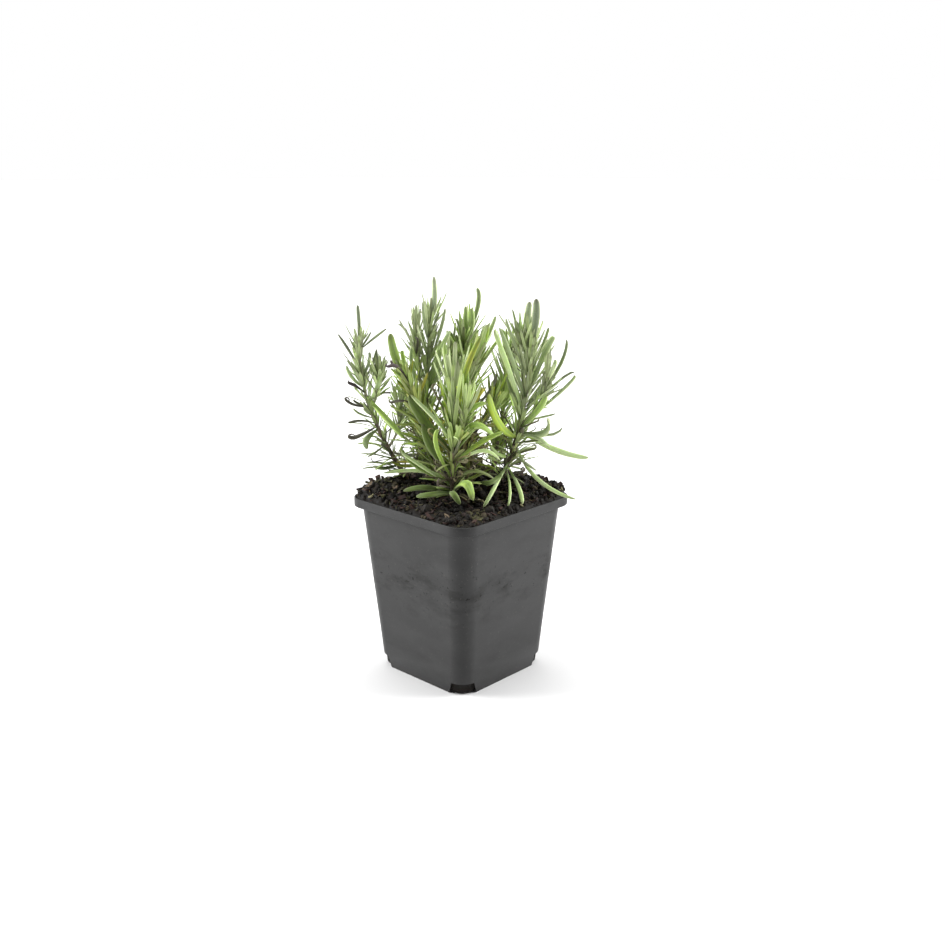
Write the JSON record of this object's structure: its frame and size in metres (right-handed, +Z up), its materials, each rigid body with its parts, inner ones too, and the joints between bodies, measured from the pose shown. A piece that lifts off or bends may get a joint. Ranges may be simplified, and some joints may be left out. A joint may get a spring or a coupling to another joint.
{
  "type": "potted lavender",
  "caption": "Young lavender plant with upright leafy stems, standing in potting soil in a small square tapered plastic nursery pot.",
  "frame": {"origin": "centre of the pot's flat underside, on the plane it stands on", "axes": "+Z up; the pot's four faces point along X and Y; the pot's corner towards +X and -Y is the one nearest the camera in the picture"},
  "size_m": [0.1117, 0.0972, 0.219],
  "materials": {
    "pot_plastic": "dark grey thin moulded plastic, satin, faintly smudged",
    "potting_soil": "moist dark peat with bits of bark and fibre",
    "lavender": "grey-green downy leaves, fresh yellow-green lower leaves, brown woody stem feet"
  },
  "bodies": {
    "root": {"pot": "pot_plastic", "potting_soil": "potting_soil", "stem_left": "lavender", "stem_tall": "lavender", "stem_back": "lavender", "stem_right": "lavender", "stem_front": "lavender", "stem_middle": "lavender", "stem_near_left": "lavender", "stem_rear_right": "lavender", "stem_rear_left": "lavender", "stem_rear": "lavender"}
  },
  "joints": []
}
